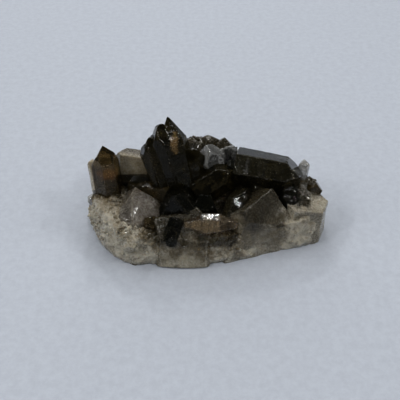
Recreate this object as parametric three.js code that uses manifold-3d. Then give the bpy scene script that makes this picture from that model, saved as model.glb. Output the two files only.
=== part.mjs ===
// Smoky quartz cluster: a milky quartz mass with smoky, milky and clear crystals grown out of it.
// Millimetres, +Z up. X runs along the cluster, -Y is the open side that shows the crystals.
import * as THREE from "three";
import { ConvexGeometry } from "three/addons/geometries/ConvexGeometry.js";
import { mergeVertices } from "three/addons/utils/BufferGeometryUtils.js";
import Module from "manifold-3d";

const wasm = await Module();
wasm.setup();

// ---- Driving dimensions ----
const GAP = 0.3; // clear space between two pieces that grew against each other
const FLOOR = 0; // height of the broken flat underside
const WALL_FOOT_INSET = 2; // how far the underside is drawn in under the widest outline
const WALL_WIDEST_AT = 5; // height of the widest outline
const OUTLINE_STEPS = 36; // points round the mass
const SHOULDER_SHARES = [0.93, 0.8, 0.6, 0.36, 0.14]; // rings of the mass's top, as shares of its outline
const END_FACE_TILT = THREE.MathUtils.degToRad(51.8); // quartz: end face's normal against the long axis
const SIDE_TAPER = THREE.MathUtils.degToRad(1.5); // each side face leans in by this towards the point
const SMALL_FACE_LIFT = 0.45; // every second end face starts this many widths higher, so it stays small
const SIDE_UNEVEN = 0.12; // share by which the side faces of one crystal differ in distance
const END_UNEVEN = 0.3; // share of the width by which its end faces differ in height
const BREAK_SLANT = 0.35; // steepest slope of a broken tip's face
const SAME_POINT = 1e-5; // corners and faces closer than this are one

// ---- Finishes ----
const FINISH = {
  smoky: { color: 0x2b241a, roughness: 0.12, metalness: 0 },
  brown: { color: 0x5f4a33, roughness: 0.2, metalness: 0 },
  milky: { color: 0xa2988a, roughness: 0.42, metalness: 0 },
  clear: { color: 0xc9cbc8, roughness: 0.08, metalness: 0 },
};

// ---- Crystals ----
// root and tip are the two ends of the long axis, and width runs from that axis to a side face.
// flat is the broad side pair's share of the width, and spin is the turn about the axis in degrees.
// habit picks the uneven faces, and steep is how many degrees the end faces lean beyond the usual.
// blunt is how far short of its point the tip is broken off.
// Earlier crystals are whole, and later ones stop against them.
const CRYSTALS = [
  // the tall dark group, left of the middle
  { name: "tall_crystal", finish: "smoky", root: [-11, 2, 14], tip: [-19, 12, 57.5], width: 7,
    flat: 0.9, spin: 20, habit: 1, steep: 12 },
  { name: "tall_side_crystal", finish: "smoky", root: [-15, 1, 17], tip: [-23.2, 10, 56], width: 6.2,
    spin: 40, habit: 2, steep: 8, blunt: 1.5 },
  { name: "tall_low_crystal", finish: "smoky", root: [-17, 0, 18], tip: [-26.6, 9, 50.5], width: 5.4,
    spin: 10, habit: 3, blunt: 2 },
  { name: "tall_outer_crystal", finish: "smoky", root: [-19, 0, 18], tip: [-29.6, 7, 46.5], width: 4.6,
    spin: 50, habit: 37, blunt: 2 },
  { name: "olive_column", finish: "smoky", root: [-5, 3, 14], tip: [-8.5, 13, 41], width: 6.5,
    spin: 0, habit: 4, blunt: 2 },
  // the large lying crystal on the right, and the block under its end
  { name: "lying_crystal", finish: "smoky", root: [15.5, 11, 26.5], tip: [50.5, 3.5, 24.5], width: 9.7,
    flat: 0.95, spin: -2, habit: 5, blunt: 4 },
  { name: "under_block", finish: "smoky", root: [39, 9, 22], tip: [40.5, -13, 16], width: 5.8,
    spin: 0, habit: 6, blunt: 1 },
  // the dark crystals in the middle hollow
  { name: "centre_crystal", finish: "smoky", root: [-4, 1, 21], tip: [14.5, 5, 32.5], width: 6.4,
    spin: 30, habit: 7, blunt: 1 },
  { name: "facing_block", finish: "smoky", root: [-12, 2, 16], tip: [-16, -22, 25], width: 7.8,
    spin: 0, habit: 8, blunt: 6 },
  { name: "hollow_crystal", finish: "smoky", root: [-8, -3, 13], tip: [4, -13, 22.5], width: 6,
    spin: 15, habit: 9, blunt: 1 },
  { name: "grey_slab", finish: "smoky", root: [12, -15, 12], tip: [19, 0, 26.5], width: 7.6,
    flat: 0.6, spin: 60, habit: 10, blunt: 2 },
  { name: "hollow_right_crystal", finish: "smoky", root: [27, 9, 16], tip: [24, -3, 25.5], width: 6,
    spin: 20, habit: 36, blunt: 1 },
  { name: "dark_wedge", finish: "smoky", root: [17, 12, 24], tip: [11, 3, 35], width: 4,
    spin: 0, habit: 11 },
  // the crystals of the front wall
  { name: "front_right_crystal", finish: "milky", root: [14, -15, -12], tip: [31.5, -7.5, 29.5], width: 15.5,
    flat: 0.72, spin: 16, habit: 12 },
  { name: "right_block", finish: "milky", root: [44.5, -7, -10], tip: [48.5, -4, 33], width: 11.2,
    flat: 0.9, spin: 8, habit: 13, blunt: 12 },
  { name: "front_centre_crystal", finish: "brown", root: [-13, -20.5, -10], tip: [-11, -10.5, 28],
    width: 17.5, flat: 0.8, spin: 0, habit: 14, blunt: 7.5 },
  { name: "lens_crystal", finish: "brown", root: [-11, -21.5, 18.5], tip: [16, -21, 18.5], width: 5,
    spin: 30, habit: 15 },
  { name: "small_front_crystal", finish: "smoky", root: [-15, -20, 19], tip: [-18.5, -31, 12.5], width: 3.3,
    spin: 0, habit: 16, blunt: 1 },
  { name: "front_left_pocket_crystal", finish: "brown", root: [-24, -12, 12], tip: [-29.5, -23, 19.5],
    width: 3.8, spin: 0, habit: 17 },
  // the left end
  { name: "left_crystal", finish: "brown", root: [-46.5, -2, 6], tip: [-50.5, 8, 43.5], width: 6.2,
    spin: 20, habit: 18, steep: 3 },
  { name: "left_sliver", finish: "milky", root: [-54, 6, 6], tip: [-57, 10, 34], width: 2.8,
    spin: 0, habit: 19, blunt: 1 },
  { name: "left_knob", finish: "clear", root: [-51, 3, 12], tip: [-60, 0, 17], width: 3.2,
    spin: 0, habit: 20, blunt: 1 },
  { name: "pale_pyramid", finish: "milky", root: [-34, -16, -4], tip: [-34.5, -6, 29], width: 11.5,
    spin: 30, habit: 21 },
  { name: "fan_crystal", finish: "brown", root: [-36, 6, 19], tip: [-13, -4, 23], width: 5.4,
    spin: 10, habit: 22 },
  { name: "slate_blade", finish: "smoky", root: [-42, 8, 23], tip: [-27, 5, 25], width: 2.5,
    spin: 0, habit: 23 },
  { name: "pale_slab", finish: "milky", root: [-36, 12, 10], tip: [-34.5, 17.5, 43], width: 10.5,
    flat: 0.5, spin: 0, habit: 24, blunt: 10 },
  { name: "rim_knob", finish: "milky", root: [-36, -22, 8], tip: [-37.5, -32.5, 15.5], width: 3.3,
    spin: 0, habit: 25, blunt: 1 },
  // the back ridge
  { name: "clear_crystal", finish: "clear", root: [4, 19, 24], tip: [2, 7, 39.5], width: 6,
    spin: 25, habit: 26 },
  { name: "left_plate", finish: "clear", root: [9, 20, 24], tip: [7.5, 13, 38], width: 4.4,
    flat: 0.22, spin: 50, habit: 30 },
  { name: "right_plate", finish: "clear", root: [12, 20, 24], tip: [13, 14, 39], width: 4.8,
    flat: 0.22, spin: -35, habit: 35 },
  { name: "ridge_left_crystal", finish: "milky", root: [-6, 27, 16], tip: [-8, 24, 37.5], width: 6,
    spin: 10, habit: 27, blunt: 2 },
  { name: "ridge_middle_crystal", finish: "brown", root: [1, 28, 16], tip: [2, 25, 37.5], width: 5.4,
    spin: 40, habit: 28, blunt: 2 },
  { name: "ridge_right_crystal", finish: "brown", root: [8, 27, 16], tip: [9, 24, 37], width: 4.4,
    spin: 0, habit: 29, blunt: 1 },
  { name: "ridge_end_crystal", finish: "smoky", root: [18, 23, 16], tip: [19, 20, 33.5], width: 4.2,
    spin: 0, habit: 31 },
  // the right end
  { name: "back_knob", finish: "milky", root: [47, 13, 8], tip: [49, 12, 32], width: 2.7,
    spin: 0, habit: 32, blunt: 1 },
  { name: "pocket_crystal", finish: "brown", root: [51, 8, 10], tip: [54, 1, 25], width: 4,
    spin: 0, habit: 33, blunt: 1 },
  { name: "pocket_side_crystal", finish: "brown", root: [46, 8, 10], tip: [47, 0, 24], width: 3.6,
    spin: 0, habit: 34 },
];

// ---- The mass ----
// Its widest outline, looking down, from the left end round by the front. It is a smooth closed curve.
const OUTLINE = [
  [-61, 9], [-59, -4], [-52, -18], [-41, -29], [-24, -29], [-6, -28.5], [8, -27.5],
  [28, -17], [46, -13], [56, -8], [60, 2], [56, 12], [42, 20], [22, 27], [0, 33], [-18, 32],
  [-36, 26], [-52, 19],
];
// Lumps that raise its top: where, how wide, how high above the hollow.
const HOLLOW_HEIGHT = 15;
const LUMPS = [
  { at: [-2, 27], wide: [18, 7], high: 17 }, // back ridge
  { at: [32, 14], wide: [16, 7], high: 8 }, // ridge's right end
  { at: [-32, 18], wide: [14, 8], high: 9 }, // ridge's left end
  { at: [-45, -6], wide: [10, 12], high: 6 }, // left shoulder
  { at: [52, 2], wide: [8, 10], high: 4 }, // right shoulder
];

// A number between -1 and 1 that is always the same for the same crystal and face.
function uneven(habit, face) {
  const wave = Math.sin(habit * 12.9898 + face * 78.233) * 43758.5453;
  return 2 * (wave - Math.floor(wave)) - 1;
}

// The flat faces of one crystal in its own frame: root at the origin, point along +Z.
function crystalFaces({ width, flat = 1, habit, steep = 0, blunt = 0, length }) {
  const tilt = END_FACE_TILT + THREE.MathUtils.degToRad(steep);
  const faces = [new THREE.Plane(new THREE.Vector3(0, 0, -1), 0)];
  for (let i = 0; i < 6; i++) {
    const around = (i + 0.5) * (Math.PI / 3);
    const broad = i % 3 === 1 ? flat : 1;
    const out = width * broad * (1 + SIDE_UNEVEN * uneven(habit, i));
    const side = new THREE.Vector3(Math.cos(around), Math.sin(around), Math.tan(SIDE_TAPER));
    const middle = side.clone().setZ(0).multiplyScalar(out).setZ(length / 2);
    faces.push(new THREE.Plane().setFromNormalAndCoplanarPoint(side.normalize(), middle));
    const lift = (i % 2 ? SMALL_FACE_LIFT : 0) + END_UNEVEN * uneven(habit, i + 6) * (i % 2);
    const end = new THREE.Vector3(Math.cos(around), Math.sin(around), 1 / Math.tan(tilt)).normalize();
    const meets = new THREE.Vector3(0, 0, length + width * lift);
    faces.push(new THREE.Plane().setFromNormalAndCoplanarPoint(end, meets));
  }
  if (blunt > 0) {
    const slant = new THREE.Vector2(uneven(habit, 12), uneven(habit, 13)).multiplyScalar(BREAK_SLANT);
    const broken = new THREE.Vector3(slant.x, slant.y, 1).normalize();
    const height = new THREE.Vector3(0, 0, length - blunt);
    faces.push(new THREE.Plane().setFromNormalAndCoplanarPoint(broken, height));
  }
  return faces;
}

// The corners where three of the faces meet, inside all the others.
function cornersOf(faces) {
  const corners = [];
  const across = new THREE.Vector3();
  const corner = new THREE.Vector3();
  for (let a = 0; a < faces.length; a++) {
    for (let b = a + 1; b < faces.length; b++) {
      for (let c = b + 1; c < faces.length; c++) {
        const [p, q, r] = [faces[a], faces[b], faces[c]];
        const spread = across.crossVectors(q.normal, r.normal).dot(p.normal);
        if (Math.abs(spread) < SAME_POINT) continue;
        corner.copy(across).multiplyScalar(-p.constant);
        corner.addScaledVector(across.crossVectors(r.normal, p.normal), -q.constant);
        corner.addScaledVector(across.crossVectors(p.normal, q.normal), -r.constant);
        corner.divideScalar(spread);
        const inside = faces.every((face) => face.distanceToPoint(corner) < SAME_POINT);
        const known = corners.some((other) => other.distanceTo(corner) < 10 * SAME_POINT);
        if (inside && !known) corners.push(corner.clone());
      }
    }
  }
  return corners;
}

// Where a crystal stands: its root, and the turn that brings +Z onto its axis.
function placeOf({ root, tip, spin = 0 }) {
  const from = new THREE.Vector3(...root);
  const axis = new THREE.Vector3(...tip).sub(from);
  const up = new THREE.Vector3(0, 0, 1);
  const turn = new THREE.Quaternion().setFromUnitVectors(up, axis.clone().normalize());
  turn.multiply(new THREE.Quaternion().setFromAxisAngle(up, THREE.MathUtils.degToRad(spin)));
  const matrix = new THREE.Matrix4().makeRotationFromQuaternion(turn).setPosition(from);
  return { length: axis.length(), matrix };
}

// ---- Solids for joining and cutting ----
function toSolid(geometry) {
  const bare = geometry.clone();
  bare.deleteAttribute("normal");
  bare.deleteAttribute("uv");
  const merged = mergeVertices(bare, 1e-4);
  const vertProperties = merged.attributes.position.array;
  const triVerts = new Uint32Array(merged.index.array);
  return new wasm.Manifold(new wasm.Mesh({ numProp: 3, vertProperties, triVerts }));
}

function toGeometry(solid) {
  const mesh = solid.getMesh();
  const geometry = new THREE.BufferGeometry();
  geometry.setAttribute("position", new THREE.BufferAttribute(mesh.vertProperties, 3));
  geometry.setIndex(new THREE.BufferAttribute(mesh.triVerts, 1));
  geometry.computeVertexNormals();
  return geometry;
}

function largestBody(solid) {
  return solid.decompose().reduce((most, body) => (body.volume() > most.volume() ? body : most));
}

// One crystal in the cluster's frame, with every face moved out by grow, and nothing below the underside.
function crystalSolid(spec, grow = 0) {
  const { length, matrix } = placeOf(spec);
  const faces = crystalFaces({ ...spec, length }).map((face) => face.applyMatrix4(matrix));
  faces.forEach((face) => (face.constant -= grow));
  faces.push(new THREE.Plane(new THREE.Vector3(0, 0, -1), FLOOR - grow));
  return toSolid(new ConvexGeometry(cornersOf(faces)));
}

// ---- The milky mass, before its crystals are let in ----
function topHeight(x, y) {
  return LUMPS.reduce((height, { at, wide, high }) => {
    const away = ((x - at[0]) / wide[0]) ** 2 + ((y - at[1]) / wide[1]) ** 2;
    return height + high * Math.exp(-away / 2);
  }, HOLLOW_HEIGHT);
}

function massGeometry() {
  const outline = new THREE.CatmullRomCurve3(OUTLINE.map(([x, y]) => new THREE.Vector3(x, y, 0)), true);
  const round = outline.getSpacedPoints(OUTLINE_STEPS).slice(0, OUTLINE_STEPS);
  const rings = [
    round.map((p) => p.clone().setLength(p.length() - WALL_FOOT_INSET).setZ(FLOOR)),
    round.map((p) => p.clone().setZ(WALL_WIDEST_AT)),
    ...SHOULDER_SHARES.map((share) => round.map((p) => {
      const q = p.clone().multiplyScalar(share);
      return q.setZ(topHeight(q.x, q.y));
    })),
  ];
  const under = new THREE.Vector3(0, 0, FLOOR);
  const crown = new THREE.Vector3(0, 0, topHeight(0, 0));
  const points = [under, ...rings.flat(), crown];
  const last = points.length - 1;
  const index = [];
  for (let i = 0; i < OUTLINE_STEPS; i++) {
    const next = (i + 1) % OUTLINE_STEPS;
    index.push(0, 1 + next, 1 + i);
    for (let ring = 0; ring < rings.length - 1; ring++) {
      const low = 1 + ring * OUTLINE_STEPS;
      const high = low + OUTLINE_STEPS;
      index.push(low + i, low + next, high + next);
      index.push(low + i, high + next, high + i);
    }
    const top = 1 + (rings.length - 1) * OUTLINE_STEPS;
    index.push(top + i, top + next, last);
  }
  const geometry = new THREE.BufferGeometry().setFromPoints(points);
  geometry.setIndex(index);
  return geometry;
}

// ---- The cluster ----
function meshFrom(name, finish, solid, matrix = new THREE.Matrix4()) {
  const geometry = toGeometry(solid).applyMatrix4(matrix.clone().invert());
  const mesh = new THREE.Mesh(geometry, new THREE.MeshStandardMaterial(FINISH[finish]));
  mesh.name = name;
  mesh.applyMatrix4(matrix);
  return mesh;
}

const cluster = new THREE.Group();
cluster.name = "smoky_quartz_cluster";
const crystals = new THREE.Group();
crystals.name = "crystals";

CRYSTALS.forEach((spec, i) => {
  let solid = crystalSolid(spec);
  CRYSTALS.slice(0, i).forEach((earlier) => {
    solid = solid.subtract(crystalSolid(earlier, GAP));
  });
  crystals.add(meshFrom(spec.name, spec.finish, largestBody(solid), placeOf(spec).matrix));
});

let mass = toSolid(massGeometry());
CRYSTALS.forEach((spec) => {
  mass = mass.subtract(crystalSolid(spec, GAP));
});
cluster.add(meshFrom("quartz_base", "milky", largestBody(mass)), crystals);

// The origin is under the middle of the cluster's box, on the underside.
const box = new THREE.Box3().setFromObject(cluster, true);
const middle = box.getCenter(new THREE.Vector3());
cluster.position.set(-middle.x, -middle.y, 0);

export default cluster;
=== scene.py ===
# %% [markdown]
# # A smoky quartz cluster
# A cluster is one mass of quartz with many crystals grown out of it. The CAD model gives each crystal as a solid
# with flat faces. This lesson reads those flat faces, and makes from them the ribbed, stepped, chipped and
# see-through crystals of a real specimen. Lengths are in metres, so MM turns a millimetre into the scene's unit.

# %% The frame
import itertools
import math

import bpy
import numpy as np
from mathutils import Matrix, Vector


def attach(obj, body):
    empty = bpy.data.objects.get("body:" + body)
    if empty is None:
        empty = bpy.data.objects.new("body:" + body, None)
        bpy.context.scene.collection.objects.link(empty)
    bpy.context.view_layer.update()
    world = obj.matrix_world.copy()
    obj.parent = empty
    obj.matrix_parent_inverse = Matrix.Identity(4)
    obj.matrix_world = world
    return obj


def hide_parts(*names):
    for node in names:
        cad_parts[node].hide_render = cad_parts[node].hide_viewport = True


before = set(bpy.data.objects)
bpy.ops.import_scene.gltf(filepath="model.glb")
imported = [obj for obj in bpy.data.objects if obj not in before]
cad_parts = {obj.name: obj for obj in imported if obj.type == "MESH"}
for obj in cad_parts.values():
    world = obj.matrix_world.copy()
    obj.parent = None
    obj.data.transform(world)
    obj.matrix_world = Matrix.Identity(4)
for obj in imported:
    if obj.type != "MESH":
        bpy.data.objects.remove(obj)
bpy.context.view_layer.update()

MM = 0.001

# %% [markdown]
# ## Random fields that are the same each time
# Growth marks need randomness that never changes from run to run. Blender's own noise textures only exist inside
# materials, so the shapes use a small noise of their own: a scrambled number for each cell of a grid in space, with
# a smooth blend in between. Working on whole arrays keeps it fast.

# %% Noise
def cell_value(ix, iy, iz, seed):
    """A number from 0 to 1 for each cell: its three whole-number indices and the seed, multiplied and scrambled."""
    h = (ix * 374761393 + iy * 668265263 + iz * 1442695041 + seed * 974711) & 0xFFFFFFFF
    h = ((h ^ (h >> 13)) * 1274126177) & 0xFFFFFFFF
    return ((h ^ (h >> 16)) & 0xFFFF) / 65535


def noise(points, cell, seed):
    """A smooth field from -1 to 1: the eight cell values round each point, blended by a cubic ramp."""
    at = points / cell
    low = np.floor(at).astype(np.int64)
    ramp = at - low
    ramp = ramp * ramp * (3 - 2 * ramp)
    total = np.zeros(len(points))
    for corner in itertools.product((0, 1), repeat=3):
        share = np.prod(np.where(corner, ramp, 1 - ramp), axis=1)
        total += share * cell_value(*(low + corner).T, seed)
    return 2 * total - 1


def rough_noise(points, cell, seed, layers=3):
    """Noise on noise: each layer has half the cell and half the height of the one before."""
    return sum(noise(points, cell / 2**k, seed + k) / 2**k for k in range(layers))


def ramp_between(low, high, values):
    """0 below low, 1 above high, and a cubic ramp in between."""
    t = np.clip((values - low) / (high - low), 0, 1)
    return t * t * (3 - 2 * t)


# %% [markdown]
# ## Reading a crystal's faces off its solid
# A quartz crystal is the space inside its flat faces: six long sides and up to six slanting end faces. Where a
# crystal grew against a neighbour, the CAD solid is cut back, and those cuts aren't real faces. A real face has no
# part of the solid outside it, so that test keeps the crystal's own faces and drops the cuts.

# %% Faces of a solid
SAME_TURN = 0.9995  # two face normals whose product is above this are one face
SAME_DEPTH = 0.06 * MM


def solid_arrays(node):
    """The corners and the triangles of a CAD solid, as two arrays."""
    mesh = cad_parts[node].data
    mesh.calc_loop_triangles()
    corners = np.empty(len(mesh.vertices) * 3)
    triangles = np.empty(len(mesh.loop_triangles) * 3, dtype=np.int32)
    mesh.vertices.foreach_get("co", corners)
    mesh.loop_triangles.foreach_get("vertices", triangles)
    return corners.reshape(-1, 3), triangles.reshape(-1, 3)


def outer_faces(corners, triangles):
    """Normals, distances from the origin and areas of the flat faces that nothing of the solid stands outside."""
    a, b, c = (corners[triangles[:, k]] for k in range(3))
    cross = np.cross(b - a, c - a)
    size = np.linalg.norm(cross, axis=1)
    solid = size > (0.05 * MM) ** 2
    normals = cross[solid] / size[solid, None]
    depths = (normals * a[solid]).sum(axis=1)
    areas = size[solid] / 2
    outside = (corners @ normals.T - depths).max(axis=0)
    found = []
    for k in np.argsort(-areas):
        if outside[k] > SAME_DEPTH:
            continue
        for face in found:
            if face[0] @ normals[k] > SAME_TURN and abs(face[1] - depths[k]) < 2 * SAME_DEPTH:
                face[2] += areas[k]
                break
        else:
            found.append([normals[k], depths[k], areas[k]])
    return (np.array([face[i] for face in found]) for i in range(3))


# %% [markdown]
# ## A crystal's surface
# The surface could be modelled face by face, but then the seams between ribbed faces need stitching. Here it is one
# function of two parameters instead. A line goes out from the crystal's middle through every point of a grid on an
# upright drum, and it stops where it leaves the space inside the faces. A soft maximum over the faces leaves every
# edge slightly rounded, as on real quartz. Each face may also be moved in or out by a relief of its own, so ribs and
# steps notch the edges just as they do in nature.

# %% Grids and meshes
def grid_mesh(name, grid, bottom, top, attributes):
    """A closed mesh from rows of points that run round it, with a pole at each end."""
    rows, columns = grid.shape[:2]
    points = np.vstack([grid.reshape(-1, 3), bottom, top])
    row, column = np.meshgrid(np.arange(rows - 1), np.arange(columns), indexing="ij")
    here = row * columns + column
    right = row * columns + (column + 1) % columns
    quads = np.stack([here, right, right + columns, here + columns], axis=-1).reshape(-1, 4)
    ring = np.arange(columns)
    after = (ring + 1) % columns
    low_pole, high_pole = rows * columns, rows * columns + 1
    low_fan = np.stack([after, ring, np.full(columns, low_pole)], axis=1)
    last = (rows - 1) * columns
    high_fan = np.stack([last + ring, last + after, np.full(columns, high_pole)], axis=1)
    loops = np.concatenate([quads.ravel(), low_fan.ravel(), high_fan.ravel()])
    sizes = np.concatenate([np.full(len(quads), 4), np.full(2 * columns, 3)])
    mesh = bpy.data.meshes.new(name)
    mesh.vertices.add(len(points))
    mesh.vertices.foreach_set("co", points.ravel())
    mesh.loops.add(len(loops))
    mesh.loops.foreach_set("vertex_index", loops.astype(np.int32))
    mesh.polygons.add(len(sizes))
    mesh.polygons.foreach_set("loop_start", np.concatenate([[0], np.cumsum(sizes)[:-1]]).astype(np.int32))
    mesh.update(calc_edges=True)
    mesh.polygons.foreach_set("use_smooth", np.ones(len(sizes), dtype=bool))
    for label, values in attributes.items():
        layer = mesh.attributes.new(label, "FLOAT", "POINT")
        layer.data.foreach_set("value", np.asarray(values, dtype=np.float32))
    mesh.validate()
    return mesh


def put(name, mesh, *nodes):
    """Links the piece, hides the CAD nodes that it stands for, and lets it ride on the one body."""
    piece = bpy.data.objects.new(name, mesh)
    bpy.context.scene.collection.objects.link(piece)
    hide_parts(*nodes)
    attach(piece, "root")
    return piece


# %% Soft maximum over the faces
def soft_reach(rays, normals, reaches, crisp):
    """For each ray: how far beyond the surface its end lies, as a ratio. It is the crisp-th root of the sum of the
    face ratios to that power, which is their maximum with rounded changes from one face to the next."""
    ratios = np.maximum(rays @ normals.T / reaches, 1e-9)
    most = ratios.max(axis=1)
    soft = most * ((ratios / most[:, None]) ** crisp).sum(axis=1) ** (1 / crisp)
    return soft, ratios


def square_to(axis):
    """Two directions square to the axis and to each other."""
    side = np.cross(axis, [0.31, 0.94, 0.13])
    side /= np.linalg.norm(side)
    return side, np.cross(axis, side)


def drum_rays(axis, low, high, radius, spacing):
    """Rays to a drum round the axis: across its bottom, up its side, across its top. Row by row, column by column."""
    side, front = square_to(axis)
    total = 2 * radius + high - low
    rows = max(int(total / spacing), 16)
    columns = max(int(2 * math.pi * radius / spacing), 20)
    walk = (np.arange(rows) + 0.5) / rows * total
    out = np.minimum(np.minimum(walk, total - walk), radius)
    up = np.clip(walk - radius, 0, high - low) + low
    angle = np.arange(columns) / columns * 2 * math.pi
    round_ = np.cos(angle)[:, None] * side + np.sin(angle)[:, None] * front
    return out[:, None, None] * round_ + up[:, None, None] * axis, rows, columns


# %% [markdown]
# ### The rim
# All crystals stand in one mass, whose wall runs on from crystal to crystal. Its rim is a smooth loop on the floor.
# It is worked out first, because the thick crystals of the wall must not stand out from it at their feet.

# %% Rim and rise
SHIFT = np.array([0.383, -0.888]) * MM
RIM = np.array([
    [-60.5, 9], [-58.5, -4], [-51.5, -17], [-41, -28], [-29, -29.3], [-18, -30], [-6.5, -30.6], [4, -28.5],
    [17, -25.5], [31, -20.5], [43, -18], [51, -15.5], [55, -10.5], [59, -3], [60, 4], [56, 12], [42, 20],
    [22, 27], [0, 32.5], [-18, 32], [-36, 26], [-52, 19],
]) * MM
LUMPS = [
    ((-2, 27), (18, 7), 17), ((32, 14), (16, 7), 8), ((-32, 18), (14, 8), 9), ((-45, -6), (10, 12), 6),
    ((52, 2), (8, 10), 4),
]
HOLLOW_HEIGHT = 15 * MM
FOOT_INSET = 0.8 * MM
WIDEST_AT = 3 * MM


def rise(x, y):
    """The height of the top: a level, and one round hill for each lump, which falls off as a bell curve."""
    height = np.full_like(x, HOLLOW_HEIGHT)
    for (at_x, at_y), (wide_x, wide_y), high in LUMPS:
        away = ((x / MM - at_x) / wide_x) ** 2 + ((y / MM - at_y) / wide_y) ** 2
        height += high * MM * np.exp(-away / 2)
    return height


def smooth_loop(knots, count):
    """A closed Catmull-Rom curve through the knots, sampled at even angles seen from the origin."""
    t = np.linspace(0, len(knots), 4000, endpoint=False)
    k = t.astype(int)
    u = (t - k)[:, None]
    p0, p1, p2, p3 = (knots[(k + j) % len(knots)] for j in (-1, 0, 1, 2))
    curve = 0.5 * (2 * p1 + (p2 - p0) * u + (2 * p0 - 5 * p1 + 4 * p2 - p3) * u**2
                   + (3 * p1 - p0 - 3 * p2 + p3) * u**3)
    angle = np.arctan2(curve[:, 1], curve[:, 0])
    order = np.argsort(angle)
    even = np.linspace(-math.pi, math.pi, count, endpoint=False)
    radius = np.interp(even, angle[order], np.linalg.norm(curve[order], axis=1), period=2 * math.pi)
    return even, radius


RIM_ANGLES, RIM_RADII = smooth_loop(RIM, 720)


def keep_to_wall(points, proud, free_from, free_at):
    """Points low on a crystal are drawn in to the wall of the mass, and may stand out by "proud" only. Between two
    heights the hold is let go, so that the crystal's head keeps its own shape."""
    flat = points[:, :2] - SHIFT
    radius = np.linalg.norm(flat, axis=1)
    wall = np.interp(np.arctan2(flat[:, 1], flat[:, 0]), RIM_ANGLES, RIM_RADII, period=2 * math.pi)
    foot = FOOT_INSET * (1 - np.clip(points[:, 2] / WIDEST_AT, 0, 1))
    most = wall - foot + proud + 30 * MM * ramp_between(free_from, free_at, points[:, 2])
    share = np.minimum(1, most / np.maximum(radius, 1e-6))
    points[:, :2] = flat * share[:, None] + SHIFT


# %% [markdown]
# ### Growth marks
# Side faces of quartz carry fine ribs straight across the crystal, which come from many small growth steps. End
# faces are smoother, with low stepped hills. Broken ends show shell-shaped ripples. Edges have small chips. These
# four marks are the relief that moves each face in and out.

# %% Relief of one crystal
SIDE_LEAN, BROKEN_LEAN = 0.25, 0.9  # a normal's share along the axis: less is a side face, more is a broken end


def face_relief(points, normals, axis, marks, seed):
    """For each point and face, how far the face is moved out. Sides: stepped noise along the axis. Ends: stepped
    low hills. Ends that were broken off, which face straight along the axis: ripples about a far point."""
    lean = normals @ axis
    along = points @ axis
    relief = np.zeros((len(points), len(normals)))
    for k, (normal, rise) in enumerate(zip(normals, lean)):
        across = points @ np.cross(axis, normal)
        here = np.stack([along, 0.1 * across, np.full(len(points), k * 7 * MM)], axis=1)
        if abs(rise) < SIDE_LEAN:
            steps = np.tanh(2.2 * noise(here, 6 * MM, seed)) + 0.5 * np.tanh(2.2 * noise(here, 2.4 * MM, seed + 1))
            ribs = noise(here, 0.9 * MM, seed + 2)
            relief[:, k] = marks["steps"] * steps + marks["ribs"] * ribs
        elif rise < BROKEN_LEAN:
            hills = np.tanh(2.5 * noise(points, 4.5 * MM, seed + 3 + k))
            relief[:, k] = marks["hills"] * hills + 0.3 * marks["ribs"] * noise(here, 0.8 * MM, seed + 4)
        else:
            far = points - points.mean(axis=0) - 9 * MM * np.cross(axis, [0.6, 0.7, 0.2])
            ripples = np.sin(np.linalg.norm(far, axis=1) / (0.45 * MM) + 2 * noise(points, 3 * MM, seed + 5))
            relief[:, k] = 1.5 * marks["hills"] * noise(points, 3 * MM, seed + 6) + 0.05 * MM * ripples
    swell = marks["swell"] * rough_noise(points, 11 * MM, seed + 7)
    return relief + swell[:, None]


def closing_faces(corners, axis, root):
    """Eight faces just outside the solid: one behind the root, one past the tip and six round the axis. They shut
    the space where a neighbour took a whole face away, and touch nothing elsewhere."""
    side, front = square_to(axis)
    angles = np.arange(6) * math.pi / 3 + 0.2
    round_ = np.cos(angles)[:, None] * side + np.sin(angles)[:, None] * front
    normals = np.vstack([-axis, axis, round_])
    spare = np.array([root, 0.3 * MM] + 6 * [0.4 * MM])
    return normals, (corners @ normals.T).max(axis=0) + spare


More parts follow.
